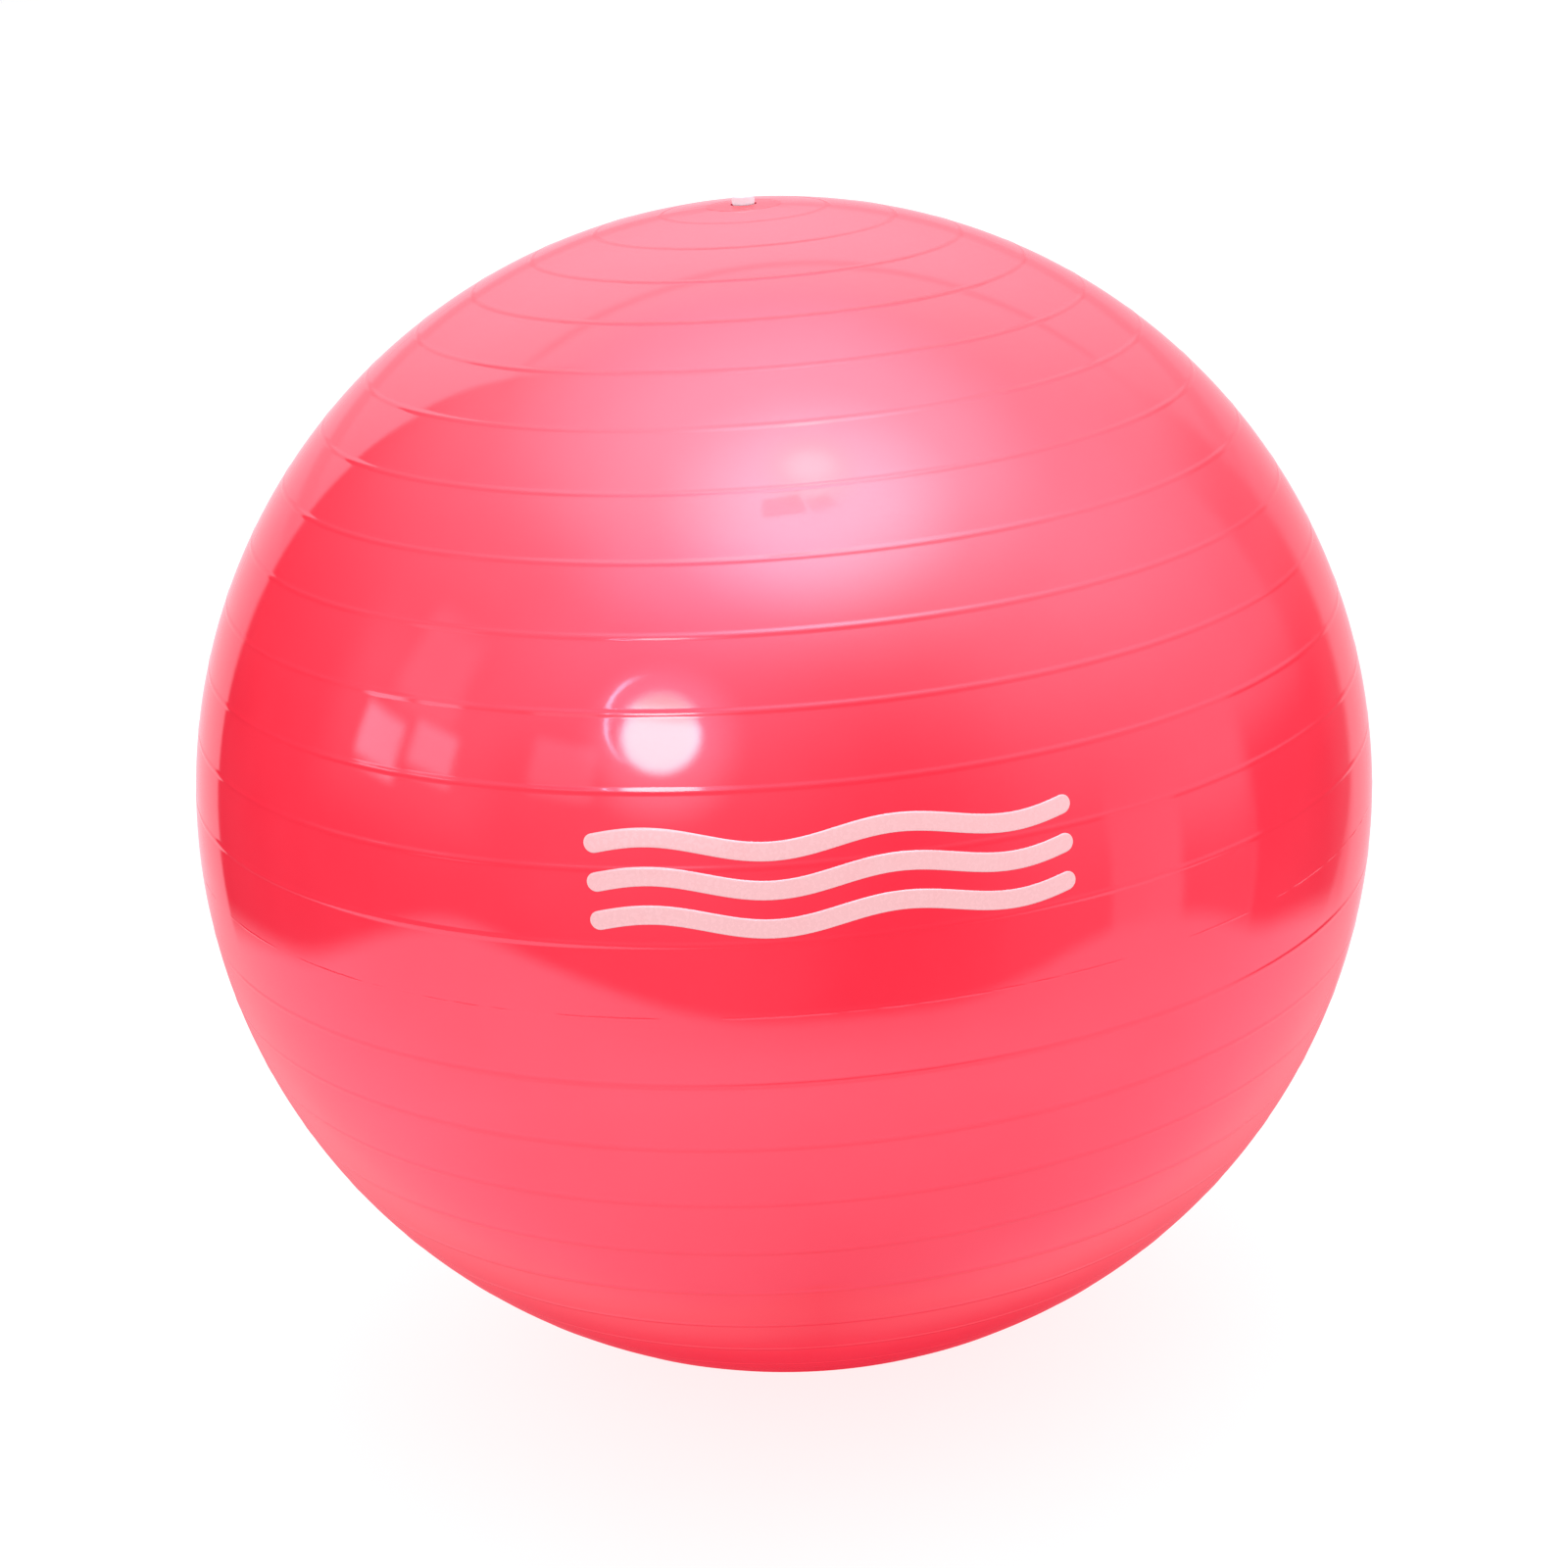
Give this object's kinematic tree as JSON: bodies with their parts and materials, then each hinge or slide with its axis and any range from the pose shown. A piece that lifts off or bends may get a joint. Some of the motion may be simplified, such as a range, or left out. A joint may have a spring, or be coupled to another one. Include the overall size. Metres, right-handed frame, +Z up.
{
  "type": "exercise ball",
  "caption": "Glossy red inflatable exercise ball with fine ribs round its valve axis, a white push-in stopper in a recessed valve pad, and a flat contact patch below.",
  "frame": {"origin": "middle of the flat patch that the ball rests on, straight below the valve", "axes": "+Z up along the valve axis, -Y towards the printed front, +X to the right of someone facing the print"},
  "size_m": [0.6504, 0.6504, 0.6535],
  "materials": {
    "red_pvc": "gloss, smooth between the ribs, slightly translucent soft PVC",
    "pad_pvc": "satin, the same PVC where it is thicker",
    "stopper_plastic": "satin white moulded plastic",
    "print_ink": "pale ink, printed on the skin"
  },
  "bodies": {
    "ball": {"ball_shell": "red_pvc", "valve_pad": "pad_pvc"},
    "stopper": {"stopper": "stopper_plastic"}
  },
  "joints": [
    {"name": "stopper_pull", "type": "slide", "parent": "ball", "child": "stopper", "axis": [0, 0, 1], "range_m": [0, 0.03]}
  ]
}
